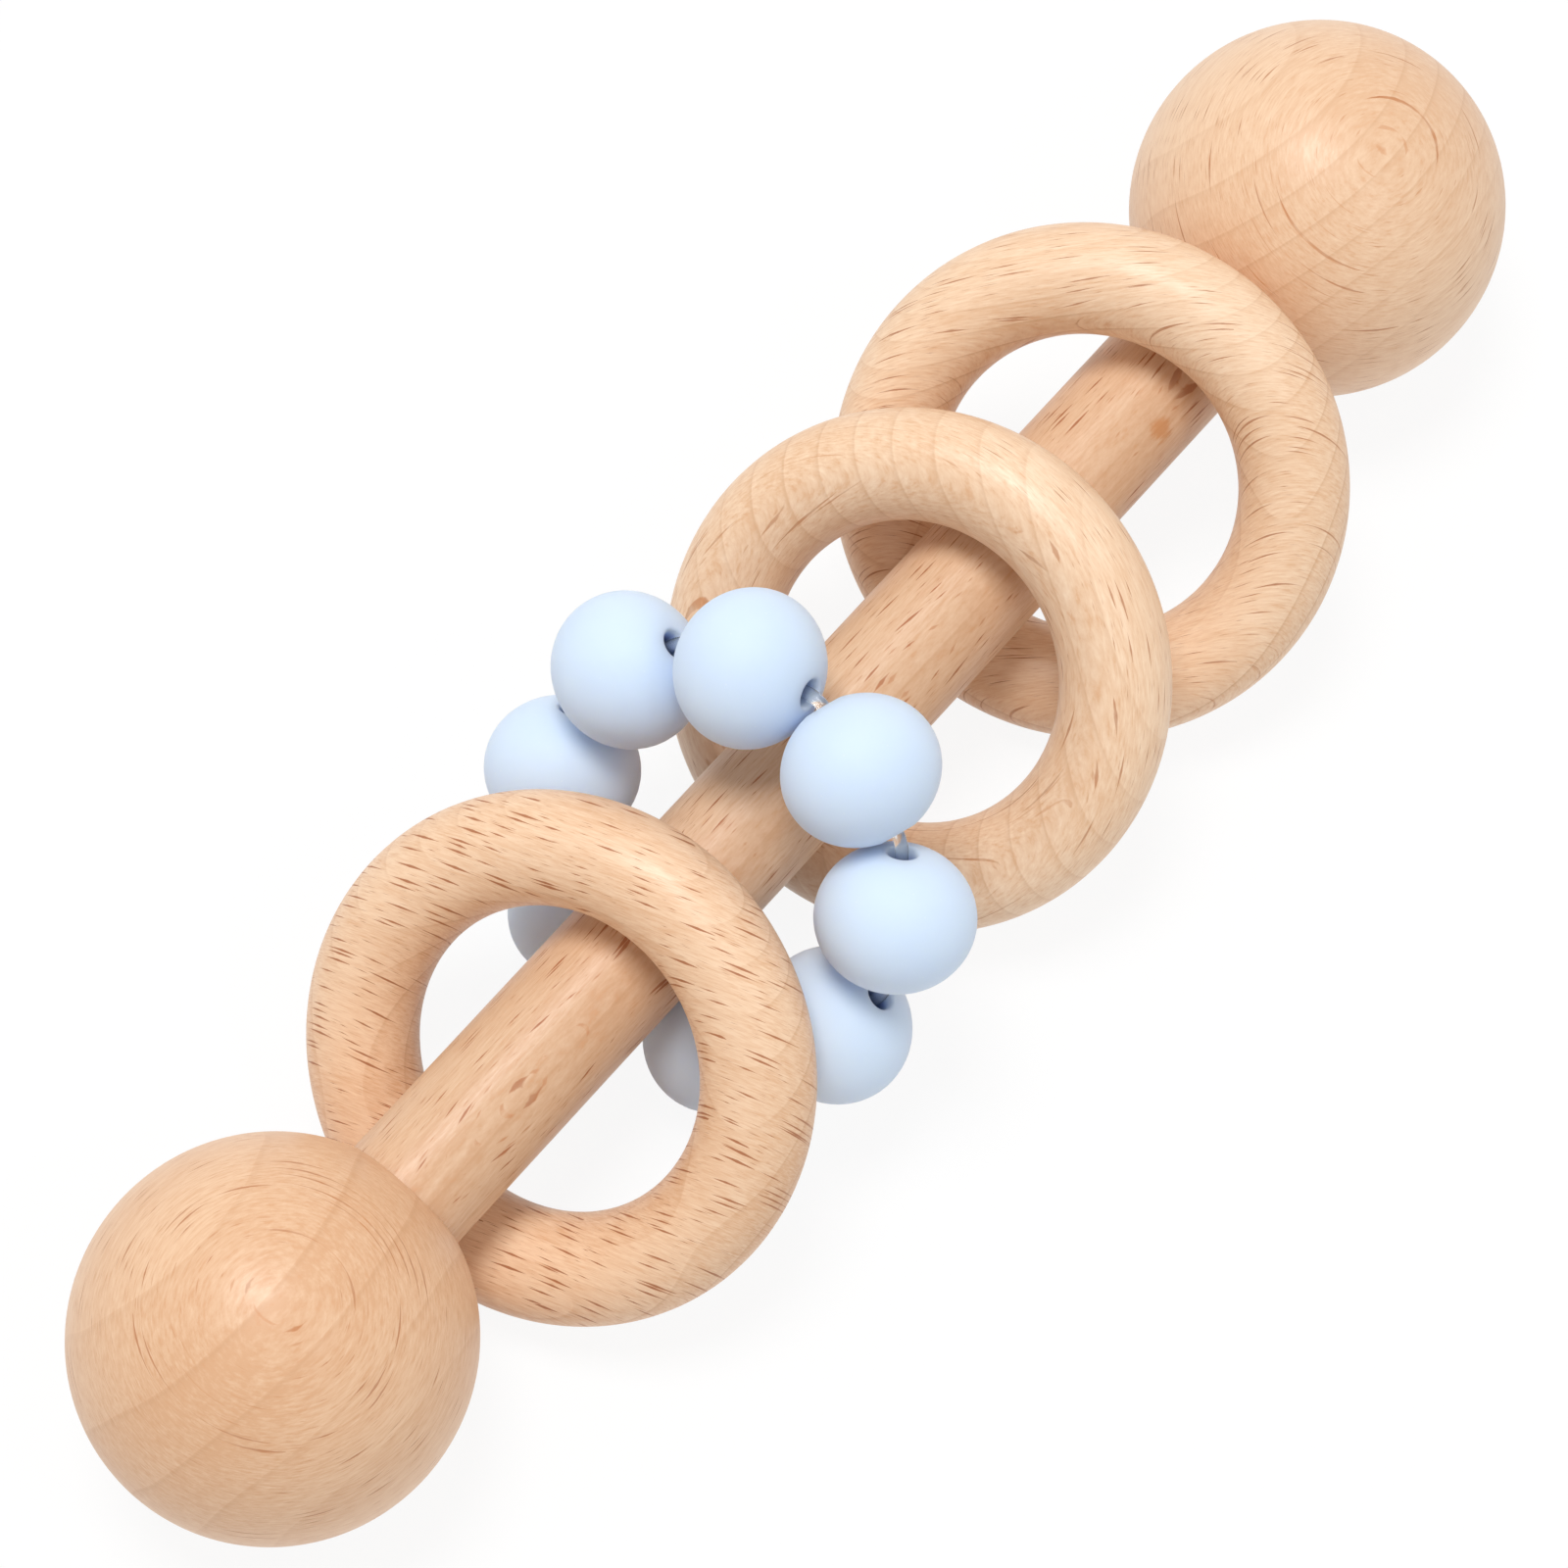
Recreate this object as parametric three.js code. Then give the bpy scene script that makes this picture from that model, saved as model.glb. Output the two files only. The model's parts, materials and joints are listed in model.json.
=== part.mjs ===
// A wooden baby rattle lying on a table: a round handle with a ball glued on each end, and
// three loose rings and one loop of soft beads threaded on the handle between the balls.
// Millimetres, +Z up, +X along the handle, table at z = 0, origin at the footprint's centre.
import * as THREE from 'three';

// Handle and end balls
const BALL_D = 30;
const HANDLE_D = 10.4;
const SOCKET_DEPTH = 16;
const SOCKET_CLEARANCE = 0.15;
const SOCKET_END_GAP = 0.5;
const HANDLE_CHAMFER = 0.8;
const SOCKET_CHAMFER = 0.4;

// Rings
const RING_OUTER_D = 41;
const RING_SECTION_D = 8.6;
const RING_ACROSS = -1.4;
const RING_ROLLS = [3.5, 4, 14].map(THREE.MathUtils.degToRad);

// Beads and their cord
const BEAD_COUNT = 8;
const BEAD_D = 12.1;
const BEAD_LENGTH = 11.1;
const BEAD_BORE_D = 2.2;
const BEAD_MOUTH_CHAMFER = 0.35;
const BEAD_GAP = 0.2;
const CORD_D = 1;
const CORD_BEND = 1.3;
const LOOP_LEAN = THREE.MathUtils.degToRad(37);
const LOOP_TURN = THREE.MathUtils.degToRad(-4);

// Gaps: pieces that touch, what lies on the table, and the free travel along the handle
const SEAT_GAP = 0.2;
const TABLE_GAP = 0.1;
const PLAY_BALL_TO_RING = 0.5;
const PLAY_RING_TO_BEADS = 0.4;
const PLAY_BEADS_TO_RING = 6;
const PLAY_RING_TO_RING = 3.7;
const PLAY_RING_TO_BALL = 1;

// Facets
const BALL_SEGMENTS = 32;
const BALL_QUARTER_STEPS = 8;
const RING_SEGMENTS = 44;
const RING_SECTION_SIDES = 12;
const BEAD_SEGMENTS = 16;
const BEAD_STEPS = 9;
const CORD_SIDES = 8;
const CORD_BEND_STEPS = 4;
const CONTACT_SAMPLES = 240;
const SOLVER_STEPS = 50;

const ballRadius = BALL_D / 2;
const handleRadius = HANDLE_D / 2;
const ringTube = RING_SECTION_D / 2;
const ringRadius = RING_OUTER_D / 2 - ringTube;
const beadRadius = BEAD_D / 2;
const beadHalf = BEAD_LENGTH / 2;
const boreRadius = BEAD_BORE_D / 2;
const axisHeight = ballRadius;

const beech = new THREE.MeshStandardMaterial({ color: 0xe8c49c, roughness: 0.5, metalness: 0 });
const paleBeech = new THREE.MeshStandardMaterial({ color: 0xebcfa8, roughness: 0.5, metalness: 0 });
const silicone = new THREE.MeshStandardMaterial({ color: 0xd0e4fa, roughness: 0.7, metalness: 0 });
const clearCord = new THREE.MeshStandardMaterial({ color: 0xf2f4f5, roughness: 0.15, metalness: 0 });

const rattle = new THREE.Group();

function addMesh(name, geometry, material) {
  const mesh = new THREE.Mesh(geometry, material);
  mesh.name = name;
  rattle.add(mesh);
  return mesh;
}

// Halves an interval until test() changes; test is true at low and false at high.
function bisect(low, high, test) {
  for (let step = 0; step < SOLVER_STEPS; step++) {
    const middle = (low + high) / 2;
    if (test(middle)) low = middle;
    else high = middle;
  }
  return low;
}

// The least distance along X from set A's origin to set B's that keeps every pair of points reach apart.
function leastStep(pointsA, pointsB, reach) {
  let step = -Infinity;
  for (const a of pointsA) {
    for (const b of pointsB) {
      const left = reach ** 2 - (b.y - a.y) ** 2 - (b.z - a.z) ** 2;
      if (left > 0) step = Math.max(step, Math.sqrt(left) - (b.x - a.x));
    }
  }
  return step;
}

// Rings: each stands on the table and leans until the top of its hole lies on the handle.

function ringEuler(lean, roll) {
  return new THREE.Euler(roll, lean - Math.PI / 2, 0);
}

function ringCentre(lean, roll) {
  const axis = new THREE.Vector3(0, 0, 1).applyEuler(ringEuler(lean, roll));
  const halfHeight = ringRadius * Math.sqrt(1 - axis.z ** 2) + ringTube;
  return new THREE.Vector3(0, RING_ACROSS, halfHeight + TABLE_GAP);
}

function ringCore(lean, roll) {
  const centre = ringCentre(lean, roll);
  return Array.from({ length: CONTACT_SAMPLES }, (_, i) => {
    const angle = (i / CONTACT_SAMPLES) * 2 * Math.PI;
    const spoke = new THREE.Vector3(Math.cos(angle), Math.sin(angle), 0).multiplyScalar(ringRadius);
    return spoke.applyEuler(ringEuler(lean, roll)).add(centre);
  });
}

function ringClearsHandle(lean, roll) {
  const reach = handleRadius + ringTube + SEAT_GAP;
  const above = ringCore(lean, roll).filter((point) => point.z > axisHeight);
  return above.length > 0 && above.every((point) => Math.hypot(point.y, point.z - axisHeight) > reach);
}

function makeRing(roll) {
  const lean = bisect(0, Math.PI / 2, (angle) => ringClearsHandle(angle, roll));
  return { lean, roll, centre: ringCentre(lean, roll), core: ringCore(lean, roll) };
}

// Bead loop: a plane loop that stands on its lowest two beads, one on each side of the handle.

function neighbourPitch() {
  const halfStep = Math.PI / BEAD_COUNT;
  const across = Math.sin(halfStep) / beadRadius;
  const along = Math.cos(halfStep) / beadHalf;
  return 2 / Math.hypot(across, along) + BEAD_GAP;
}

function makeLoop() {
  const reach = handleRadius + beadRadius + SEAT_GAP;
  const footHeight = beadRadius + TABLE_GAP;
  const footAcross = Math.sqrt(Math.max(0, reach ** 2 - (axisHeight - footHeight) ** 2));
  const pitch = neighbourPitch();
  const footPitch = Math.max(pitch, (2 * footAcross) / Math.cos(LOOP_TURN));
  const angleOf = (chord, radius) => 2 * Math.asin(chord / 2 / radius);
  const tooSmall = (radius) =>
    (BEAD_COUNT - 1) * angleOf(pitch, radius) + angleOf(footPitch, radius) > 2 * Math.PI;
  const radius = bisect(footPitch / 2, BEAD_COUNT * footPitch, tooSmall);
  const footAngle = angleOf(footPitch, radius);
  const stepAngle = angleOf(pitch, radius);

  // The loop's own frame: X across the handle, Y up the loop, with the feet's middle at its origin.
  const frame = new THREE.Matrix4().makeTranslation(0, 0, footHeight);
  frame.multiply(new THREE.Matrix4().makeRotationZ(LOOP_TURN));
  frame.multiply(new THREE.Matrix4().makeRotationY(LOOP_LEAN));
  frame.multiply(new THREE.Matrix4().makeBasis(
    new THREE.Vector3(0, -1, 0),
    new THREE.Vector3(0, 0, 1),
    new THREE.Vector3(-1, 0, 0),
  ));
  frame.multiply(new THREE.Matrix4().makeTranslation(0, radius * Math.cos(footAngle / 2), 0));
  const angles = Array.from({ length: BEAD_COUNT }, (_, i) => -Math.PI / 2 - footAngle / 2 - i * stepAngle);
  const centres = angles.map((angle) =>
    new THREE.Vector3(Math.cos(angle), Math.sin(angle), 0).multiplyScalar(radius).applyMatrix4(frame));
  return { radius, angles, frame, centres };
}

// A profile round the bead's bore: up the outside from one mouth to the other and back down the bore.
function beadGeometry() {
  const mouthRadius = boreRadius + BEAD_MOUTH_CHAMFER;
  const mouthAngle = Math.asin(mouthRadius / beadRadius);
  const profile = [];
  for (let i = 0; i <= BEAD_STEPS; i++) {
    const angle = mouthAngle + (i / BEAD_STEPS) * (Math.PI - 2 * mouthAngle);
    profile.push(new THREE.Vector2(beadRadius * Math.sin(angle), -beadHalf * Math.cos(angle)));
  }
  const boreEnd = beadHalf * Math.cos(mouthAngle) - BEAD_MOUTH_CHAMFER;
  profile.push(new THREE.Vector2(boreRadius, boreEnd));
  profile.push(new THREE.Vector2(boreRadius, -boreEnd));
  profile.push(profile[0].clone());
  return new THREE.LatheGeometry(profile, BEAD_SEGMENTS);
}

// The cord's centre line in the loop's own frame: straight through every bead, with a round bend between.
function cordLine(loop) {
  const stations = [];
  loop.angles.forEach((angle, i) => {
    const next = i + 1 < loop.angles.length ? loop.angles[i + 1] : loop.angles[0] - 2 * Math.PI;
    const half = (angle - next) / 2;
    const reach = loop.radius * Math.tan(half);
    const bendRadius = CORD_BEND / Math.tan(half);
    const bisector = (angle + next) / 2;
    const bendCentre = loop.radius / Math.cos(half) - bendRadius / Math.cos(half);
    const straight = reach - CORD_BEND;
    const tangent = new THREE.Vector2(Math.sin(angle), -Math.cos(angle));
    const centre = new THREE.Vector2(Math.cos(angle), Math.sin(angle)).multiplyScalar(loop.radius);
    stations.push({ point: centre.clone().addScaledVector(tangent, -straight / 2), angle });
    stations.push({ point: centre.clone().addScaledVector(tangent, straight / 2), angle });
    const pivot = new THREE.Vector2(Math.cos(bisector), Math.sin(bisector)).multiplyScalar(bendCentre);
    for (let k = 0; k <= CORD_BEND_STEPS; k++) {
      const turn = angle - (k / CORD_BEND_STEPS) * 2 * half;
      const spoke = new THREE.Vector2(Math.cos(turn), Math.sin(turn));
      stations.push({ point: pivot.clone().addScaledVector(spoke, bendRadius), angle: turn });
    }
  });
  return stations;
}

// A closed tube round the stations, in the loop's own frame.
function cordGeometry(loop) {
  const stations = cordLine(loop);
  const positions = [];
  const indices = [];
  stations.forEach(({ point, angle }, i) => {
    const following = ((i + 1) % stations.length) * CORD_SIDES;
    for (let side = 0; side < CORD_SIDES; side++) {
      const turn = (side / CORD_SIDES) * 2 * Math.PI;
      const outward = (CORD_D / 2) * Math.cos(turn);
      positions.push(point.x + outward * Math.cos(angle), point.y + outward * Math.sin(angle));
      positions.push((CORD_D / 2) * Math.sin(turn));
      const here = i * CORD_SIDES + side;
      const beside = i * CORD_SIDES + ((side + 1) % CORD_SIDES);
      const ahead = following + side;
      const aheadBeside = following + ((side + 1) % CORD_SIDES);
      indices.push(here, beside, ahead, beside, aheadBeside, ahead);
    }
  });
  const geometry = new THREE.BufferGeometry();
  geometry.setAttribute('position', new THREE.Float32BufferAttribute(positions, 3));
  geometry.setIndex(indices);
  geometry.computeVertexNormals();
  return geometry;
}

// A ball turned round Y with its blind socket open towards +Y.
function ballGeometry() {
  const socketRadius = handleRadius + SOCKET_CLEARANCE;
  const mouthRadius = socketRadius + SOCKET_CHAMFER;
  const mouthAngle = Math.acos(mouthRadius / ballRadius);
  const profile = [];
  for (let i = 0; i <= BALL_QUARTER_STEPS; i++) {
    const angle = -(1 - i / BALL_QUARTER_STEPS) * (Math.PI / 2);
    profile.push(new THREE.Vector2(ballRadius * Math.cos(angle), ballRadius * Math.sin(angle)));
  }
  profile[0].x = 0;
  for (let i = 1; i <= BALL_QUARTER_STEPS; i++) {
    const angle = (i / BALL_QUARTER_STEPS) * mouthAngle;
    profile.push(new THREE.Vector2(ballRadius * Math.cos(angle), ballRadius * Math.sin(angle)));
  }
  profile.push(new THREE.Vector2(socketRadius, ballRadius * Math.sin(mouthAngle) - SOCKET_CHAMFER));
  profile.push(new THREE.Vector2(socketRadius, ballRadius - SOCKET_DEPTH));
  profile.push(new THREE.Vector2(0, ballRadius - SOCKET_DEPTH));
  return new THREE.LatheGeometry(profile, BALL_SEGMENTS);
}

function handleGeometry(length) {
  const profile = [
    new THREE.Vector2(0, -length / 2),
    new THREE.Vector2(handleRadius - HANDLE_CHAMFER, -length / 2),
    new THREE.Vector2(handleRadius, -length / 2 + HANDLE_CHAMFER),
    new THREE.Vector2(handleRadius, length / 2 - HANDLE_CHAMFER),
    new THREE.Vector2(handleRadius - HANDLE_CHAMFER, length / 2),
    new THREE.Vector2(0, length / 2),
  ];
  return new THREE.LatheGeometry(profile, BALL_SEGMENTS);
}

// Places along the handle, from the near ball's centre: each piece clears the one before it.
const rings = RING_ROLLS.map(makeRing);
const loop = makeLoop();
const ballCentre = [new THREE.Vector3(0, 0, axisHeight)];
const ringAt = [];
ringAt[0] = leastStep(ballCentre, rings[0].core, ballRadius + ringTube) + PLAY_BALL_TO_RING;
const loopAt = ringAt[0] + leastStep(rings[0].core, loop.centres, ringTube + beadRadius) + PLAY_RING_TO_BEADS;
ringAt[1] = loopAt + leastStep(loop.centres, rings[1].core, beadRadius + ringTube) + PLAY_BEADS_TO_RING;
ringAt[2] = ringAt[1] + leastStep(rings[1].core, rings[2].core, 2 * ringTube) + PLAY_RING_TO_RING;
const farBallAt = ringAt[2] + leastStep(rings[2].core, ballCentre, ringTube + ballRadius) + PLAY_RING_TO_BALL;

// Pieces
const socketFloor = ballRadius - SOCKET_DEPTH;
const handle = addMesh('handle', handleGeometry(farBallAt - 2 * (socketFloor + SOCKET_END_GAP)), beech);
handle.position.set(farBallAt / 2, 0, axisHeight);
handle.rotation.z = -Math.PI / 2;

const nearBall = addMesh('ball_1', ballGeometry(), beech);
nearBall.position.set(0, 0, axisHeight);
nearBall.rotation.z = -Math.PI / 2;

const farBall = addMesh('ball_2', ballGeometry(), beech);
farBall.position.set(farBallAt, 0, axisHeight);
farBall.rotation.z = Math.PI / 2;

rings.forEach((ring, i) => {
  const geometry = new THREE.TorusGeometry(ringRadius, ringTube, RING_SECTION_SIDES, RING_SEGMENTS);
  const mesh = addMesh(`ring_${i + 1}`, geometry, i === 1 ? paleBeech : beech);
  mesh.position.copy(ring.centre);
  mesh.position.x = ringAt[i];
  mesh.rotation.copy(ringEuler(ring.lean, ring.roll));
});

const beadString = new THREE.Group();
beadString.applyMatrix4(loop.frame);
beadString.position.x += loopAt;
rattle.add(beadString);
loop.angles.forEach((angle, i) => {
  const mesh = addMesh(`bead_${i + 1}`, beadGeometry(), silicone);
  mesh.position.set(loop.radius * Math.cos(angle), loop.radius * Math.sin(angle), 0);
  mesh.rotation.z = angle;
  beadString.add(mesh);
});
beadString.add(addMesh('cord', cordGeometry(loop), clearCord));

// The origin is the middle of the footprint on the table.
const box = new THREE.Box3().setFromObject(rattle, true);
const middle = box.getCenter(new THREE.Vector3());
rattle.position.set(-middle.x, -middle.y, -box.min.z);

export default rattle;
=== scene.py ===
"""A wooden ring rattle: turned beech pieces, soft beads on a clear cord, their finishes and a stage."""
import json
import math
from typing import NamedTuple

import bpy
import numpy as np
from bpy.props import FloatProperty, FloatVectorProperty, IntProperty, PointerProperty
from mathutils import Matrix, Vector


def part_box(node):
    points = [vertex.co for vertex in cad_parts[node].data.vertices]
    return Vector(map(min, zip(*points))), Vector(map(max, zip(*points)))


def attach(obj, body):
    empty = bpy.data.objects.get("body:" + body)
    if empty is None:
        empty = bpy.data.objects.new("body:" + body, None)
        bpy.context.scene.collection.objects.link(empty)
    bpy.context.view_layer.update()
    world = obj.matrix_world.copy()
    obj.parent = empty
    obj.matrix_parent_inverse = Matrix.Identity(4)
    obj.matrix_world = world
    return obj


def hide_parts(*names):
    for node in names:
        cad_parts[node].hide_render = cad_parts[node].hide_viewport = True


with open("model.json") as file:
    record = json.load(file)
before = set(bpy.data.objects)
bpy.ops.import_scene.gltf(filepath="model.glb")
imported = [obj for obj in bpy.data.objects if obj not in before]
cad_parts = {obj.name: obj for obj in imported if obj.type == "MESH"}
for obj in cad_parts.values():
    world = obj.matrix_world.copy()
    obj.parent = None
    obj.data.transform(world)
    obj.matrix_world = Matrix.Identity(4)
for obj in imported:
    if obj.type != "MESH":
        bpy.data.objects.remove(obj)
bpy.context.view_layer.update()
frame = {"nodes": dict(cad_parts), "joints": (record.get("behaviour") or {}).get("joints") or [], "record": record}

bl_info = {
    "name": "Wooden Ring Rattle",
    "version": (1, 0, 0),
    "blender": (4, 5, 0),
    "location": "3D View > Sidebar > Rattle",
    "description": "Dresses a beech ring rattle: turned wood, soft beads, clear cord and a pale stage",
    "category": "Add Mesh",
}

MM = 0.001
BODY_OF = {node: body for body, nodes in frame["record"]["behaviour"]["bodies"].items() for node in nodes}
BEAD_JOINTS = [joint for joint in frame["joints"] if joint["name"].startswith("bead_") and "pos_m" in joint]
HANDLE_AXIS = np.array((1.0, 0.0, 0.0))

# Where the camera stands, from the point it looks at.
VIEW_TARGET = Vector((-4.2, 0.9, 15.0)) * MM
VIEW_DISTANCE = 336.2 * MM
VIEW_AZIMUTH = math.radians(-49.23)
VIEW_ELEVATION = math.radians(68.95)
VIEW_LENS = 101.25
SENSOR_WIDTH = 36.0

# The lamps: name, bearing from the rattle as (right, up, back) in the camera's view, width and power.
LAMPS = (
    ("soft_lamp", (-0.1, 0.5, 0.86), 0.34, 5.0),
    ("glint_lamp", (0.5, 0.02, 0.86), 0.11, 0.4),
)
LAMP_DISTANCE = 0.9
ROOM_LIGHT = 0.52

FLOOR_HALF = 3.0
FLOOR_LEVEL = -0.02 * MM
FLOOR_WHITE_SHARE = 0.9

# Rows of points along each outline, and points round the cord.
HANDLE_ROWS = 90
BALL_ROWS = 84
BEAD_ROWS = 60
CORD_BEND_ROWS = 9
CORD_SIDES = 20

# Where the handle's small knot shows, and its radius in mm.
HANDLE_PIN_KNOT = Vector((36.3, -2.9, 18.65)) * MM
PIN_KNOT_RADIUS = 1.15

# How deep in a bead's bore the painted shade is full.
BORE_SHADE_DEPTH = 1.4 * MM

# Lengths of the wood's features in mm: along the fibre, across it and through the board.
LAYER_WAVE = (80.0, 14.0, 14.0)
FIBRE = (14.0, 0.8, 0.5)
MOTTLE = (1.5, 0.8, 0.10)
CLOUD = (40.0, 11.0, 11.0)
RAY_WAVER = (24.0, 26.0, 9.0)
RAY_FRAY = (0.7, 3.0, 0.12)
RAY_PATCH = (9.0, 7.0, 3.0)
FLECK_BREAK = (2.5, 1.6, 1.2)

# Ends of the rays in mm: spacing along the fibre and across it, and how much slimmer than that they are.
RAY_SPACING = (4.2, 0.42)
SHORT_RAY_SPACING = (1.7, 0.2)
SHORT_RAY_SHIFT = 11.0
RAY_SLIMNESS = 2.6


class Timber(NamedTuple):
    """How a board's figure shows. Lengths are in mm.
    year is the thickness of a year's growth, curve how flat its layers are and year_strength how far its
    late line stands out. dashes is the share of the rays that end in a dash and dash_strength how dark it
    is; spacing and slimness give its size, and flecks how far the rays' flat sides stand out. pale goes
    from pink beech, 0, to pale beech, 1; contrast is how far the darker streaks stand out, and shade darkens
    the wood as a whole: a tone of the wood itself, and on the handle also painted shade of the rings and
    beads over it. seed is the board's place along the log."""
    year: float
    dashes: float
    dash_strength: float
    seed: float
    pale: float = 0.0
    year_strength: float = 0.5
    curve: float = 60.0
    flecks: float = 0.3
    contrast: float = 1.0
    shade: float = 1.0
    spacing: tuple = RAY_SPACING
    slimness: float = RAY_SLIMNESS


class RingCut(NamedTuple):
    """A ring's cut from its board: the fibre's slant as the camera sees it, (right, up), the turn of the
    rays towards the ring's axis, and the board."""
    slant: tuple
    ray_turn: float
    timber: Timber


HANDLE_POLE = (0.0, -0.5, 0.87)
# The handle's shade of 0.86 is painted shade: its wood is darkened all over for the shadow of the rings and beads
# over it.
HANDLE_TIMBER = Timber(
    year=3.6, dashes=0.75, dash_strength=1.25, seed=53.0, pale=0.1, flecks=0.6, contrast=0.7, shade=0.86)

BALL_TIMBER = Timber(
    year=5.2, dashes=0.45, dash_strength=0.8, seed=211.0, flecks=0.6, contrast=0.72, shade=0.97)

# The balls: node, side that the socket opens to, pole of the grain and board.
BALL_CUTS = (
    ("ball_1", 1, (0.0, -0.155, 0.988), BALL_TIMBER),
    ("ball_2", -1, (0.0, -0.305, 0.952), BALL_TIMBER._replace(year=3.1, seed=307.0, pale=0.4)),
)

RING_CUTS = {
    "ring_1": RingCut((0.94, -0.34), math.radians(25), Timber(
        year=2.4, dashes=1.0, dash_strength=1.35, seed=401.0, pale=0.4, year_strength=0.8, curve=34.0,
        spacing=(3.8, 0.52), slimness=2.3)),
    "ring_2": RingCut((0.3, -0.95), math.radians(84), Timber(
        year=3.0, dashes=0.55, dash_strength=0.8, seed=503.0, pale=0.8, flecks=0.45)),
    "ring_3": RingCut((0.99, 0.12), math.radians(42), Timber(
        year=2.1, dashes=0.9, dash_strength=0.9, seed=607.0, pale=0.75, year_strength=0.95, curve=24.0,
        spacing=(5.2, 0.5), slimness=3.2)),
}


def linear(red, green, blue):
    """A colour given in 0 to 255 display values, as the linear values that shaders use."""
    display = np.array((red, green, blue)) / 255
    low = display / 12.92
    high = ((display + 0.055) / 1.055) ** 2.4
    return tuple(float(value) for value in np.where(display <= 0.04045, low, high))


def node_box(node):
    """Lowest and highest corner of a CAD node at rest."""
    low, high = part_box(node)
    return np.array(low), np.array(high)


def node_middle(node):
    low, high = node_box(node)
    return (low + high) / 2


def node_height(node):
    """Height of a CAD node's box, which is the diameter of a piece that lies along X."""
    low, high = node_box(node)
    return float(high[2] - low[2])


def ring_axis(node):
    """The ring's own axis: the direction in which its solid's points spread least, turned upwards."""
    mesh = frame["nodes"][node].data
    flat = np.empty(len(mesh.vertices) * 3)
    mesh.vertices.foreach_get("co", flat)
    points = flat.reshape(-1, 3)
    axis = np.linalg.svd(points - node_middle(node), full_matrices=False)[2][2]
    return axis if axis[2] > 0 else -axis


def loop_normal():
    """The direction square to the plane of the bead loop, turned upwards."""
    centres = np.array([joint["pos_m"] for joint in BEAD_JOINTS])
    normal = np.linalg.svd(centres - centres.mean(axis=0))[2][2]
    return normal if normal[2] > 0 else -normal


def view_axes():
    """The camera's right, up and back directions."""
    right = np.array((math.cos(VIEW_AZIMUTH), math.sin(VIEW_AZIMUTH), 0))
    level = np.array((math.sin(VIEW_AZIMUTH), -math.cos(VIEW_AZIMUTH), 0))
    back = math.cos(VIEW_ELEVATION) * level + math.sin(VIEW_ELEVATION) * np.array((0, 0, 1))
    return right, np.cross(back, right), back


def in_plane(slant, axis):
    """The direction across a ring's axis that the camera sees at a slant of (right, up)."""
    right, up, back = view_axes()
    seen = slant[0] * right + slant[1] * up
    direction = seen - back * (seen @ axis) / (back @ axis)
    return direction / np.linalg.norm(direction)


def length_property(name, description, default):
    return FloatProperty(
        name=name, description=description, default=default, subtype="DISTANCE", unit="LENGTH")


def colour_property(name, description, display):
    return FloatVectorProperty(
        name=name, description=description, default=linear(*display), subtype="COLOR", min=0.0, max=1.0)


class RattleSizes(bpy.types.PropertyGroup):
    """Sizes of the turned and moulded pieces."""
    ball: length_property("Ball", "Diameter of each end ball", node_height("ball_1"))
    handle: length_property("Handle", "Diameter of the handle", node_height("handle"))
    socket_depth: length_property("Socket depth", "Depth of the blind socket in each ball", 16 * MM)
    socket_clearance: length_property("Socket clearance", "Gap for glue round the handle", 0.15 * MM)
    socket_lip: length_property("Socket lip", "Round of the socket's mouth", 0.4 * MM)
    handle_edge: length_property("Handle edge", "Round of the handle's two ends", 0.8 * MM)
    ring: length_property("Ring", "Outer diameter of each ring", 41 * MM)
    ring_section: length_property("Ring section", "Diameter of the round section of a ring", 8.6 * MM)
    bead: length_property("Bead", "Diameter of a bead across its bore", 12.1 * MM)
    bead_length: length_property("Bead length", "Length of a bead along its bore", 11.1 * MM)
    bore: length_property("Bore", "Diameter of the hole through a bead", 2.2 * MM)
    bore_lip: length_property("Bore lip", "Round of the bore's mouth", 0.35 * MM)
    cord: length_property("Cord", "Diameter of the clear cord", 1.0 * MM)
    cord_bend: length_property("Cord bend", "Cord each side of a bend between two beads", 1.3 * MM)
    sides: IntProperty(
        name="Sides", description="Facets round a turned piece", default=128, min=16, max=256)


class RattleColours(bpy.types.PropertyGroup):
    """Colours of the finishes."""
    pale_wood: colour_property("Pale wood", "Early wood of the pink beech", (241, 202, 166))
    deep_wood: colour_property("Deep wood", "Darker streaks of the pink beech", (218, 165, 122))
    cream_wood: colour_property("Cream wood", "Early wood of the pale beech", (249, 221, 191))
    straw_wood: colour_property("Straw wood", "Darker streaks of the pale beech", (234, 195, 158))
    late_wood: colour_property("Late wood", "Line that ends a year's growth", (196, 146, 104))
    ray_end: colour_property("Ray end", "Short dark dashes of the rays", (168, 100, 58))
    ray_fleck: colour_property("Ray fleck", "Tan flecks where the rays lie flat", (216, 150, 98))
    pin_knot: colour_property("Pin knot", "Spot of a small knot in the handle", (206, 140, 84))
    silicone: colour_property("Silicone", "Soft beads", (215, 231, 255))
    silicone_shade: colour_property("Silicone shade", "Faint cloud in the beads", (208, 225, 254))
    # bore_shade is painted shade: a dark blue laid on the bores' walls, full from a set depth in, where the bores
    # lie in shade.
    bore_shade: colour_property("Bore shade", "Inside of the beads' bores", (84, 108, 152))
    dust: colour_property("Dust", "Fine pale dust on the beads", (232, 240, 252))
    cord_tint: colour_property("Cord tint", "Clear cord", (244, 248, 250))
    cord_streak: colour_property("Cord streak", "Drawn lines in the clear cord", (226, 234, 240))
    floor: colour_property("Floor", "Plain floor", (248, 248, 248))


def sizes():
    return bpy.context.scene.rattle_sizes


def colours():
    return bpy.context.scene.rattle_colours


# Surfaces

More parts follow.
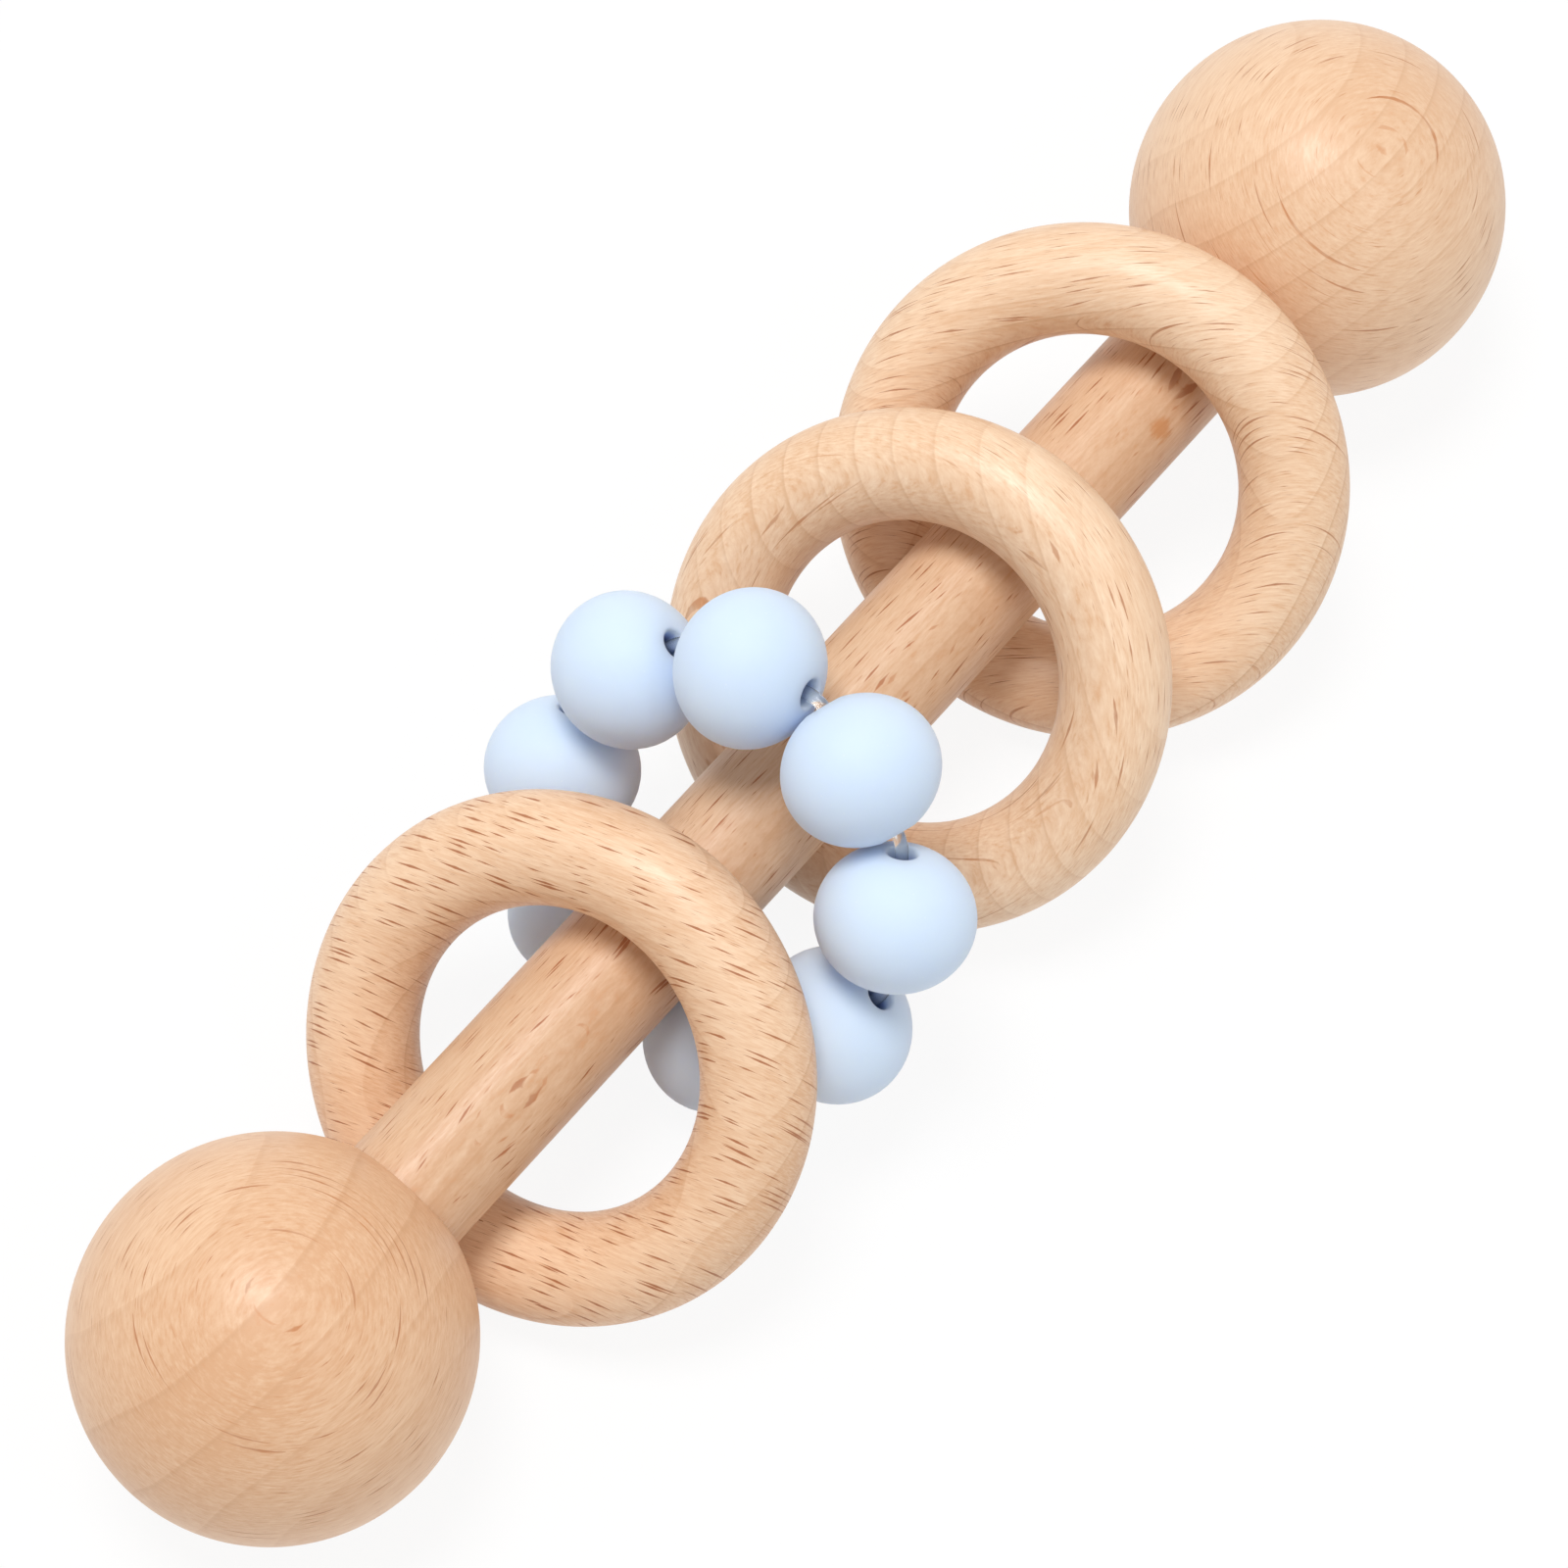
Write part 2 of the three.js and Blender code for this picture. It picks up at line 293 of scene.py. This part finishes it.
def quads(rows, columns, rows_wrap):
    """Four-sided faces between neighbouring rows of a grid whose columns wrap round."""
    index = np.arange(rows * columns).reshape(rows, columns)
    below = index if rows_wrap else index[:-1]
    above = np.roll(index, -1, axis=0) if rows_wrap else index[1:]
    corners = (below, np.roll(below, -1, axis=1), np.roll(above, -1, axis=1), above)
    return np.stack(corners, axis=-1).reshape(-1, 4)


def fan(pole, ring):
    """Triangles from a pole vertex to each edge of a closed row of vertices."""
    return np.stack((np.full(len(ring), pole), ring, np.roll(ring, -1)), axis=-1)


def bend(start, corner, end, steps):
    """Quadratic curve from start to end, pulled to corner: (1-s)^2 start + 2s(1-s) corner + s^2 end."""
    s = np.linspace(0, 1, steps)[:, None]
    return (1 - s) ** 2 * np.array(start) + 2 * s * (1 - s) * np.array(corner) + s ** 2 * np.array(end)


def revolved(profile, sides, closed):
    """Circles swept by a profile: a point (a, r) gives (a, r cos u, r sin u) for u in equal steps.
    An open profile starts and ends on the axis, and those two points close it as poles."""
    turn = np.arange(sides) * (2 * np.pi / sides)
    rows = profile if closed else profile[1:-1]
    along = np.broadcast_to(rows[:, :1], (len(rows), sides))
    grid = np.stack((along, rows[:, 1:] * np.cos(turn), rows[:, 1:] * np.sin(turn)), axis=-1)
    points = grid.reshape(-1, 3)
    faces = [quads(len(rows), sides, closed)]
    if not closed:
        count = len(points)
        first = np.arange(sides)
        faces += [fan(count, first)[:, ::-1], fan(count + 1, first + count - sides)]
        poles = np.array(((profile[0, 0], 0, 0), (profile[-1, 0], 0, 0)))
        points = np.concatenate((points, poles))
    return points, faces


def basis(axis, hint):
    """Right-handed frame: first direction along axis, third as near to hint as it can be."""
    first = np.array(axis) / np.linalg.norm(axis)
    second = np.cross(hint, first)
    second /= np.linalg.norm(second)
    return np.stack((first, second, np.cross(first, second)), axis=1)


def signed_volume(points, faces):
    """Sum of the triple products of each face's fan of triangles."""
    first = points[faces[:, 0]]
    pairs = zip(range(1, faces.shape[1] - 1), range(2, faces.shape[1]))
    return sum(np.sum(first * np.cross(points[faces[:, a]], points[faces[:, b]])) for a, b in pairs)


def add_piece(name, points, face_groups, node, finish):
    """A smooth closed mesh, faces outwards, that stands for one CAD node and rides on its body."""
    if sum(signed_volume(points, faces) for faces in face_groups) < 0:
        face_groups = [faces[:, ::-1] for faces in face_groups]
    mesh = bpy.data.meshes.new(name)
    mesh.from_pydata(points.tolist(), [], [face for faces in face_groups for face in faces.tolist()])
    mesh.polygons.foreach_set("use_smooth", np.ones(len(mesh.polygons), dtype=bool))
    mesh.materials.append(finish)
    mesh.update()
    piece = bpy.data.objects.new(name, mesh)
    bpy.context.scene.collection.objects.link(piece)
    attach(piece, BODY_OF[node])
    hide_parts(node)
    return piece


def ball_profile(radius, socket, depth, lip, steps):
    """A circle's arc from the closed pole to the socket's mouth, a small round lip, the socket's wall and
    its flat floor: pairs of distance along the axis from the ball's centre and radius."""
    mouth = math.acos((socket + lip) / radius)
    angle = np.linspace(-math.pi / 2, mouth, steps)
    arc = np.stack((radius * np.sin(angle), radius * np.cos(angle)), axis=1)
    arc[0, 1] = 0
    corner = (math.sqrt(radius ** 2 - socket ** 2), socket)
    round_lip = bend(arc[-1], corner, (arc[-1, 0] - lip, socket), 6)[1:]
    floor = radius - depth
    wall = np.array(((floor, socket), (floor, 0)))
    return np.concatenate((arc, round_lip, wall))


def handle_profile(length, radius, edge, steps):
    """A straight side between two rounded ends: pairs of distance along the axis and radius."""
    half = length / 2
    near = bend((-half, radius - edge), (-half, radius), (edge - half, radius), 5)
    side = np.stack((np.linspace(edge - half, half - edge, steps), np.full(steps, radius)), axis=1)
    far = near[::-1] * (-1, 1)
    return np.concatenate((((-half, 0),), near, side[1:-1], far, ((half, 0),)))


def torus(radius, tube, around, section):
    """((R + t cos v) cos u, (R + t cos v) sin u, t sin v): u is round the ring and v round its section."""
    u = (np.arange(around) * (2 * np.pi / around))[:, None]
    v = np.arange(section) * (2 * np.pi / section)
    out = radius + tube * np.cos(v)
    rise = np.broadcast_to(tube * np.sin(v), (around, section))
    points = np.stack((out * np.cos(u), out * np.sin(u), rise), axis=-1)
    return points.reshape(-1, 3), [quads(around, section, True)]


def bead_profile(radius, half, bore, lip, steps):
    """Closed outline of a bored bead: an ellipse's arc from mouth to mouth, a round lip at each end and
    the straight bore: pairs of distance along the bore and radius."""
    mouth = math.asin((bore + lip) / radius)
    angle = np.linspace(mouth, math.pi - mouth, steps)
    arc = np.stack((-half * np.cos(angle), radius * np.sin(angle)), axis=1)
    corner = (half * math.sqrt(1 - (bore / radius) ** 2), bore)
    lip_out = bend(arc[-1], corner, (arc[-1, 0] - lip, bore), 7)[1:]
    lip_back = (lip_out * (-1, 1))[::-1]
    inside = np.linspace(lip_out[-1, 0], lip_back[0, 0], 9)[1:-1]
    wall = np.stack((inside, np.full(len(inside), bore)), axis=1)
    return np.concatenate((arc, lip_out, wall, lip_back))


def bore_shade(profile, bore):
    """How much painted shade each point of a bead's outline takes in the bore: 0 at its mouth and outside,
    and 1 from a set depth on."""
    along = np.abs(profile[:, 0])
    on_wall = np.isclose(profile[:, 1], bore, rtol=0, atol=0.001 * MM)
    return on_wall * np.clip((along[on_wall].max() - along) / BORE_SHADE_DEPTH, 0, 1)


def cord_path(centres, bores, reach_of_bend, steps):
    """A closed line straight through every bore; between two beads it follows a quadratic bend whose
    corner is where the lines of their bores meet."""
    chord = np.roll(centres, -1, axis=0) - centres
    span = np.linalg.norm(chord, axis=1, keepdims=True)
    reach = span ** 2 / (2 * np.sum(bores * chord, axis=1, keepdims=True))
    corner = centres + bores * reach
    start = corner - bores * reach_of_bend
    end = corner + np.roll(bores, -1, axis=0) * reach_of_bend
    s = np.linspace(0, 1, steps)[:, None, None]
    curve = (1 - s) ** 2 * start + 2 * s * (1 - s) * corner + s ** 2 * end
    stations = np.concatenate((centres[None], curve))
    return stations.transpose(1, 0, 2).reshape(-1, 3)


def closed_tube(path, normal, radius, sides):
    """Circles round a closed plane path: p + r (cos v (n x t) + sin v n), with t the path's direction."""
    tangent = np.roll(path, -1, axis=0) - np.roll(path, 1, axis=0)
    tangent /= np.linalg.norm(tangent, axis=1, keepdims=True)
    side = np.cross(normal, tangent)
    v = (np.arange(sides) * (2 * np.pi / sides))[None, :, None]
    points = path[:, None] + radius * (np.cos(v) * side[:, None] + np.sin(v) * normal)
    return points.reshape(-1, 3), [quads(len(path), sides, True)]


# Finishes

class Flow:
    """A node's output used in Python sums: each operation adds a Math node to the same material."""

    def __init__(self, finish, socket):
        self.finish = finish
        self.socket = socket

    def output(self, name):
        return Flow(self.finish, self.socket.node.outputs[name])

    def math(self, operation, *values, clamp=False):
        settings = {"operation": operation, "use_clamp": clamp}
        return self.finish.node("ShaderNodeMath", settings, dict(enumerate(values)))

    def __add__(self, other):
        return self.math("ADD", self, other)

    def __radd__(self, other):
        return self.math("ADD", other, self)

    def __sub__(self, other):
        return self.math("SUBTRACT", self, other)

    def __rsub__(self, other):
        return self.math("SUBTRACT", other, self)

    def __mul__(self, other):
        return self.math("MULTIPLY", self, other)

    def __rmul__(self, other):
        return self.math("MULTIPLY", other, self)

    def __truediv__(self, other):
        return self.math("DIVIDE", self, other)

    def __pow__(self, other):
        return self.math("POWER", self, other)

    def __abs__(self):
        return self.math("ABSOLUTE", self)

    def clamped(self):
        return self.math("ADD", self, 0.0, clamp=True)

    def fraction(self):
        return self.math("FRACT", self)


class RayEnds(NamedTuple):
    """Distance to the nearest ray's end, and that ray's own chance between 0 and 1."""
    distance: Flow
    chance: Flow


class Finish:
    """The nodes of a material, or of the room, under construction."""

    def __init__(self, owner):
        self.owner = owner
        owner.use_nodes = True
        self.tree = owner.node_tree
        self.tree.nodes.clear()

    def node(self, kind, settings=None, inputs=None, output=0):
        """Adds a node of any kind: its settings first, then the values or links of its sockets."""
        made = self.tree.nodes.new(kind)
        for key, value in (settings or {}).items():
            setattr(made, key, value)
        for key, value in (inputs or {}).items():
            if isinstance(value, Flow):
                self.tree.links.new(value.socket, made.inputs[key])
            else:
                made.inputs[key].default_value = value
        return Flow(self, made.outputs[output]) if len(made.outputs) else made

    def vector_math(self, operation, first, second, output="Vector"):
        return self.node("ShaderNodeVectorMath", {"operation": operation}, {0: first, 1: second}, output)

    def mix(self, factor, first, second):
        """A colour between two: factor 0 gives the first and 1 the second."""
        first, second = (
            value if isinstance(value, Flow) else (*value, 1.0) for value in (first, second))
        settings = {"data_type": "RGBA", "blend_type": "MIX", "clamp_factor": True}
        return self.node("ShaderNodeMix", settings, {0: factor, 6: first, 7: second}, output=2)

    def noise(self, place, cell, detail=2.0, roughness=0.5):
        """Noise whose lumps are cell units long in the place's own directions."""
        scaled = self.vector_math("DIVIDE", place, cell)
        inputs = {"Vector": scaled, "Scale": 1.0, "Detail": detail, "Roughness": roughness}
        return self.node("ShaderNodeTexNoise", {}, inputs)

    def cells(self, place, cell):
        """Distance to the nearest of scattered points, cell units apart."""
        scaled = self.vector_math("DIVIDE", place, cell)
        return self.node("ShaderNodeTexVoronoi", {}, {"Vector": scaled, "Scale": 1.0})

    def rays(self, along, depth, spacing, slimness):
        """Scattered ray ends, spacing apart along and across: the distance from the nearest one's middle,
        in which a ray's end is a slim diamond, and that ray's own chance."""
        length, width = spacing
        place = self.node("ShaderNodeCombineXYZ", {}, {0: along / length, 1: depth / width})
        flat = {"voronoi_dimensions": "2D"}
        nearest = self.node("ShaderNodeTexVoronoi", flat, {"Vector": place, "Scale": 1.0}, "Position")
        offset = self.vector_math("SUBTRACT", place, nearest)
        lengthwise = self.node("ShaderNodeSeparateXYZ", {}, {0: offset}, "X")
        chance = self.node("ShaderNodeSeparateColor", {}, {0: nearest.output("Color")}, "Red")
        return RayEnds(abs(lengthwise) + abs(lengthwise.output("Y")) * slimness, chance)

    def bump(self, height, strength, distance):
        return self.node(
            "ShaderNodeBump", {}, {"Height": height, "Strength": strength, "Distance": distance})

    def surface(self, **inputs):
        """The Principled shader and the material's output."""
        named = {key.replace("_", " "): value for key, value in inputs.items()}
        shader = self.node("ShaderNodeBsdfPrincipled", {}, named)
        self.node("ShaderNodeOutputMaterial", {}, {"Surface": shader})
        return self.owner


def new_finish(name):
    return Finish(bpy.data.materials.new(name))


def between(first, second, share):
    """A colour share of the way from first to second, in linear values."""
    return np.array(first) * (1 - share) + np.array(second) * share


def beech(name, centre, fibre, pole, timber, pin_knot=None):
    """Solid beech cut from a board: fibre is the grain's direction and pole the direction seen across the
    rays' flat sides. Years' growth lies in curved layers across the third direction. Rays are thin ribbons
    that run through the layers: dark dashes where they end, and tan flecks where they lie flat. pin_knot is
    a point with the orange spot of a small knot round it."""
    paint = colours()
    finish = new_finish(name)
    axes = basis(fibre, pole)
    coordinates = finish.node("ShaderNodeTexCoord", {}, {}, "Object")
    grain = finish.node("ShaderNodeMapping", {"vector_type": "TEXTURE"}, {
        "Vector": coordinates,
        "Location": Vector(centre) + Vector(axes[:, 0]) * timber.seed * MM,
        "Rotation": Matrix(axes.tolist()).to_euler(),
        "Scale": (MM, MM, MM)})
    along = finish.node("ShaderNodeSeparateXYZ", {}, {0: grain}, "X")
    across = along.output("Y")
    depth = along.output("Z")

    # Years' growth: a slow darkening that ends in a thin late line, with curved, slightly wavy layers.
    wave = finish.noise(grain, LAYER_WAVE, 1.0) - 0.5
    layers = (across + depth * depth / timber.curve) / timber.year + wave * 0.6
    season = layers.fraction()
    late_line = (season ** 16.0) * ((1.0 - season) * 22.0).clamped()

    # Fine fibres, the mottled skin between them and broad clouds of colour.
    fibres = finish.noise(grain, FIBRE, 3.0, 0.6)
    mottle = finish.noise(grain, MOTTLE, 3.0, 0.65)
    cloud = finish.noise(grain, CLOUD, 1.0)

    # Rays: ribbons through the layers, seen as pointed dashes where they end on the surface.
    drift = depth + (finish.noise(grain, RAY_WAVER, 1.0) - 0.5) * 2.4
    fray = (finish.noise(grain, RAY_FRAY, 2.0) - 0.5) * 0.2
    patch = finish.noise(grain, RAY_PATCH, 1.0) - 0.5
    long_ray = finish.rays(along, drift, timber.spacing, timber.slimness)
    long_reach = (long_ray.chance - (1.0 - timber.dashes)) * (0.46 / timber.dashes) + patch * 0.2
    long_dash = ((long_reach - long_ray.distance + fray) * 9.0).clamped()
    short_ray = finish.rays(along + SHORT_RAY_SHIFT, drift, SHORT_RAY_SPACING, RAY_SLIMNESS)
    short_reach = (short_ray.chance - 0.5) * 0.9 + patch * 0.3
    short_dash = ((short_reach - short_ray.distance + fray) * 6.0).clamped()

    # How far the surface cuts across the rays: 1 where they end on it and 0 where they lie flat.
    normal = coordinates.output("Normal")
    end_on = abs(finish.vector_math("DOT_PRODUCT", normal, tuple(axes[:, 1]), "Value"))
    dark = ((long_dash + short_dash * 0.45) * timber.dash_strength * (end_on ** 0.3)).clamped()
    speckle = ((mottle - 0.58) * 6.0).clamped()
    broken = ((finish.noise(grain, FLECK_BREAK, 1.0) - 0.42) * 5.0).clamped()
    flat_side = (long_dash * broken * 2.2 + short_dash) * timber.flecks + speckle * 0.5
    fleck = flat_side * (1.15 - end_on)

    # Colour from the pale ground to the dark rays.
    # timber.shade darkens both tones; on the handle this is painted shade of the rings and beads over it.
    pale_tone = between(paint.pale_wood, paint.cream_wood, timber.pale) * timber.shade
    streak_tone = between(paint.deep_wood, paint.straw_wood, timber.pale) * timber.shade
    deep_tone = between(pale_tone, streak_tone, timber.contrast)
    ground = (mottle * 2.2 + fibres + cloud * 0.9 + season * 0.2 - end_on * 0.4 - 1.42).clamped()
    late_share = late_line * ((1.1 - end_on) * timber.year_strength).clamped()
    colour = finish.mix(ground, pale_tone, deep_tone)
    colour = finish.mix(late_share, colour, paint.late_wood)
    colour = finish.mix((fleck * 0.6).clamped(), colour, paint.ray_fleck)
    colour = finish.mix(dark * 0.9, colour, paint.ray_end)
    if pin_knot is not None:
        away = finish.vector_math("DISTANCE", coordinates, pin_knot, "Value") / MM
        spot = ((PIN_KNOT_RADIUS - away + (mottle - 0.5) * 1.6) * 1.6).clamped()
        colour = finish.mix(spot * 0.7, colour, paint.pin_knot)

    relief = mottle * 0.6 + fibres * 0.3 - dark * 0.6
    return finish.surface(
        Base_Color=colour, Roughness=0.34 + mottle * 0.2 + dark * 0.1,
        Normal=finish.bump(relief, 0.35, 0.05 * MM),
        Specular_IOR_Level=0.4, Coat_Weight=0.1, Coat_Roughness=0.25)


def soft_silicone():
    """Matte baby-blue silicone: a faint cloud, a fine dusty skin and painted shade that darkens each bore from its
    mouth inwards.
    """
    paint = colours()
    finish = new_finish("matte_blue_silicone")
    place = finish.node("ShaderNodeTexCoord", {}, {}, "Object")
    cloud = finish.noise(place, (6 * MM,) * 3, 2.0)
    skin = finish.noise(place, (0.12 * MM,) * 3, 2.0, 0.7)
    dust = finish.cells(place, (0.9 * MM,) * 3)
    speck = ((0.075 - dust) * 40.0).clamped()
    # Painted shade: the bore attribute mixes the bore shade colour into the bores' walls.
    inside = finish.node("ShaderNodeAttribute", {"attribute_name": "bore"}, {}, "Fac")
    colour = finish.mix(cloud, paint.silicone, paint.silicone_shade)
    colour = finish.mix(speck * 0.35, colour, paint.dust)
    colour = finish.mix(inside, colour, paint.bore_shade)
    relief = skin * 0.8 + speck * 0.4
    return finish.surface(
        Base_Color=colour, Roughness=0.56 + skin * 0.14, Normal=finish.bump(relief, 0.12, 0.03 * MM),
        Specular_IOR_Level=0.35, Subsurface_Weight=0.6, Subsurface_Radius=(1.0, 1.0, 1.2),
        Subsurface_Scale=3.5 * MM, Sheen_Weight=0.08, Sheen_Roughness=0.5)


def clear_polymer():
    """Clear stretch cord: smooth and glassy with faint drawn lines."""
    paint = colours()
    finish = new_finish("clear_cord")
    place = finish.node("ShaderNodeTexCoord", {}, {}, "Object")
    drawn = finish.noise(place, (0.5 * MM,) * 3, 2.0)
    return finish.surface(
        Base_Color=finish.mix(drawn * 0.4, paint.cord_tint, paint.cord_streak),
        Roughness=0.10 + drawn * 0.10, Transmission_Weight=0.95, IOR=1.46)


# Pieces

class RATTLE_OT_handle(bpy.types.Operator):
    """Turn the round handle"""
    bl_idname = "rattle.handle"
    bl_label = "Handle"

    def execute(self, context):
        size = sizes()
        low, high = node_box("handle")
        middle = node_middle("handle")
        profile = handle_profile(high[0] - low[0], size.handle / 2, size.handle_edge, HANDLE_ROWS)
        points, faces = revolved(profile, size.sides, False)
        finish = beech(
            "beech_handle", middle, HANDLE_AXIS, HANDLE_POLE, HANDLE_TIMBER, HANDLE_PIN_KNOT)
        add_piece("handle_turned", points + middle, faces, "handle", finish)
        return {"FINISHED"}


class RATTLE_OT_balls(bpy.types.Operator):
    """Turn the two end balls with their blind sockets"""
    bl_idname = "rattle.balls"
    bl_label = "End balls"

    def execute(self, context):
        size = sizes()
        radius = size.ball / 2
        socket = size.handle / 2 + size.socket_clearance
        profile = ball_profile(radius, socket, size.socket_depth, size.socket_lip, BALL_ROWS)
        points, faces = revolved(profile, size.sides, False)
        for node, side, pole, timber in BALL_CUTS:
            low, high = node_box(node)
            centre = node_middle(node)
            centre[0] = low[0] + radius if side > 0 else high[0] - radius
            finish = beech(f"beech_{node}", centre, HANDLE_AXIS, pole, timber)
            add_piece(f"{node}_turned", points * (side, side, 1) + centre, faces, node, finish)
        return {"FINISHED"}


class RATTLE_OT_rings(bpy.types.Operator):
    """Turn the three loose rings"""
    bl_idname = "rattle.rings"
    bl_label = "Rings"

    def execute(self, context):
        size = sizes()
        tube = size.ring_section / 2
        points, faces = torus(size.ring / 2 - tube, tube, 2 * size.sides, size.sides // 2)
        for node, ring in RING_CUTS.items():
            centre = node_middle(node)
            axis = ring_axis(node)
            fibre = in_plane(ring.slant, axis)
            pole = math.sin(ring.ray_turn) * axis + math.cos(ring.ray_turn) * np.cross(fibre, axis)
            finish = beech(f"beech_{node}", centre, fibre, pole, ring.timber)
            placed = points @ basis(fibre, axis).T + centre
            add_piece(f"{node}_turned", placed, faces, node, finish)
        return {"FINISHED"}


class RATTLE_OT_beads(bpy.types.Operator):
    """Mould the eight bored beads"""
    bl_idname = "rattle.beads"
    bl_label = "Beads"

    def execute(self, context):
        size = sizes()
        finish = soft_silicone()
        bore_radius = size.bore / 2
        profile = bead_profile(size.bead / 2, size.bead_length / 2, bore_radius, size.bore_lip, BEAD_ROWS)
        sides = size.sides // 2
        points, faces = revolved(profile, sides, True)
        # The bore attribute: how much painted shade each point of the bore takes.
        shade = bore_shade(profile, bore_radius)
        for joint in BEAD_JOINTS:
            node = joint["name"].removesuffix("_spin")
            turned = basis(joint["axis"], loop_normal())
            placed = points @ turned.T + np.array(joint["pos_m"])
            piece = add_piece(f"{node}_moulded", placed, faces, node, finish)
            bore = piece.data.attributes.new("bore", "FLOAT", "POINT")
            bore.data.foreach_set("value", np.repeat(shade, sides))
        return {"FINISHED"}


class RATTLE_OT_cord(bpy.types.Operator):
    """Thread the clear cord through the beads"""
    bl_idname = "rattle.cord"
    bl_label = "Cord"

    def execute(self, context):
        size = sizes()
        centres = np.array([joint["pos_m"] for joint in BEAD_JOINTS])
        bores = np.array([joint["axis"] for joint in BEAD_JOINTS])
        bores /= np.linalg.norm(bores, axis=1, keepdims=True)
        onward = np.roll(centres, -1, axis=0) - np.roll(centres, 1, axis=0)
        bores *= np.sign(np.sum(bores * onward, axis=1, keepdims=True))
        path = cord_path(centres, bores, size.cord_bend, CORD_BEND_ROWS)
        points, faces = closed_tube(path, loop_normal(), size.cord / 2, CORD_SIDES)
        add_piece("cord_threaded", points, faces, "cord", clear_polymer())
        return {"FINISHED"}


class RATTLE_OT_stage(bpy.types.Operator):
    """Set the pale floor, the soft lights and the camera"""
    bl_idname = "rattle.stage"
    bl_label = "Stage"

    def execute(self, context):
        self.add_floor()
        self.add_lights()
        self.add_camera()
        context.scene.view_settings.view_transform = "Standard"
        return {"FINISHED"}

    def add_floor(self):
        """A flat square under the rattle, white where it is seen and still holding a faint shadow."""
        corners = [
            (x * FLOOR_HALF, y * FLOOR_HALF, FLOOR_LEVEL) for x, y in ((-1, -1), (1, -1), (1, 1), (-1, 1))]
        mesh = bpy.data.meshes.new("floor")
        mesh.from_pydata(corners, [], [(0, 1, 2, 3)])
        finish = new_finish("pale_floor")
        matt = finish.node("ShaderNodeBsdfDiffuse", {}, {"Color": (*colours().floor, 1.0)})
        white = finish.node("ShaderNodeEmission", {}, {"Color": (1, 1, 1, 1), "Strength": 1.0})
        share = seen_by_eye(finish) * FLOOR_WHITE_SHARE
        both = finish.node("ShaderNodeMixShader", {}, {0: share, 1: matt, 2: white})
        finish.node("ShaderNodeOutputMaterial", {}, {"Surface": both})
        mesh.materials.append(finish.owner)
        floor = bpy.data.objects.new("floor", mesh)
        bpy.context.scene.collection.objects.link(floor)

    def add_lights(self):
        """An even white room, one broad soft lamp and a small one that gives the lacquer its glints."""
        world = bpy.data.worlds.new("white_room")
        bpy.context.scene.world = world
        room = Finish(world)
        strength = ROOM_LIGHT + seen_by_eye(room) * (1.0 - ROOM_LIGHT)
        light = room.node("ShaderNodeBackground", {}, {"Color": (1, 1, 1, 1), "Strength": strength})
        room.node("ShaderNodeOutputWorld", {}, {"Surface": light})
        for lamp in LAMPS:
            self.add_lamp(*lamp)

    def add_lamp(self, name, bearing, width, energy):
        """A round lamp seen from the rattle at a bearing of (right, up, back) from the camera's view."""
        right, up, back = view_axes()
        away = bearing[0] * right + bearing[1] * up + bearing[2] * back
        lamp = bpy.data.lights.new(name, "AREA")
        lamp.shape = "DISK"
        lamp.size = width
        lamp.energy = energy
        holder = bpy.data.objects.new(name, lamp)
        holder.location = VIEW_TARGET + Vector(away) * LAMP_DISTANCE
        holder.rotation_euler = Vector(-away).to_track_quat("-Z", "Y").to_euler()
        bpy.context.scene.collection.objects.link(holder)

    def add_camera(self):
        right, up, back = view_axes()
        data = bpy.data.cameras.new("camera")
        data.lens = VIEW_LENS
        data.sensor_width = SENSOR_WIDTH
        data.clip_start = 0.01
        camera = bpy.data.objects.new("camera", data)
        camera.location = VIEW_TARGET + Vector(back) * VIEW_DISTANCE
        camera.rotation_euler = Matrix(np.stack((right, up, back), axis=1).tolist()).to_euler()
        bpy.context.scene.collection.objects.link(camera)
        bpy.context.scene.camera = camera


def seen_by_eye(finish):
    """1 for what the camera, a reflection or clear cord sees, and 0 for light that falls on the rattle."""
    path = finish.node("ShaderNodeLightPath", {}, {}, "Is Camera Ray")
    return (path + path.output("Is Glossy Ray") + path.output("Is Transmission Ray")).clamped()


PIECE_OPERATORS = (
    RATTLE_OT_handle,
    RATTLE_OT_balls,
    RATTLE_OT_rings,
    RATTLE_OT_beads,
    RATTLE_OT_cord,
    RATTLE_OT_stage,
)


class RATTLE_PT_pieces(bpy.types.Panel):
    """Sizes, colours and the pieces to make"""
    bl_idname = "RATTLE_PT_pieces"
    bl_label = "Ring Rattle"
    bl_space_type = "VIEW_3D"
    bl_region_type = "UI"
    bl_category = "Rattle"

    def draw(self, context):
        for group in (context.scene.rattle_sizes, context.scene.rattle_colours):
            column = self.layout.column(align=True)
            for name in group.bl_rna.properties.keys():
                if name not in {"rna_type", "name"}:
                    column.prop(group, name)
        for operator in PIECE_OPERATORS:
            self.layout.operator(operator.bl_idname)


CLASSES = (RattleSizes, RattleColours, *PIECE_OPERATORS, RATTLE_PT_pieces)


def register():
    for item in CLASSES:
        bpy.utils.register_class(item)
    bpy.types.Scene.rattle_sizes = PointerProperty(type=RattleSizes)
    bpy.types.Scene.rattle_colours = PointerProperty(type=RattleColours)


def unregister():
    del bpy.types.Scene.rattle_colours
    del bpy.types.Scene.rattle_sizes
    for item in reversed(CLASSES):
        bpy.utils.unregister_class(item)


def main():
    register()
    for name in ("stage", "handle", "balls", "rings", "beads", "cord"):
        getattr(bpy.ops.rattle, name)()


if __name__ == "__main__":
    main()
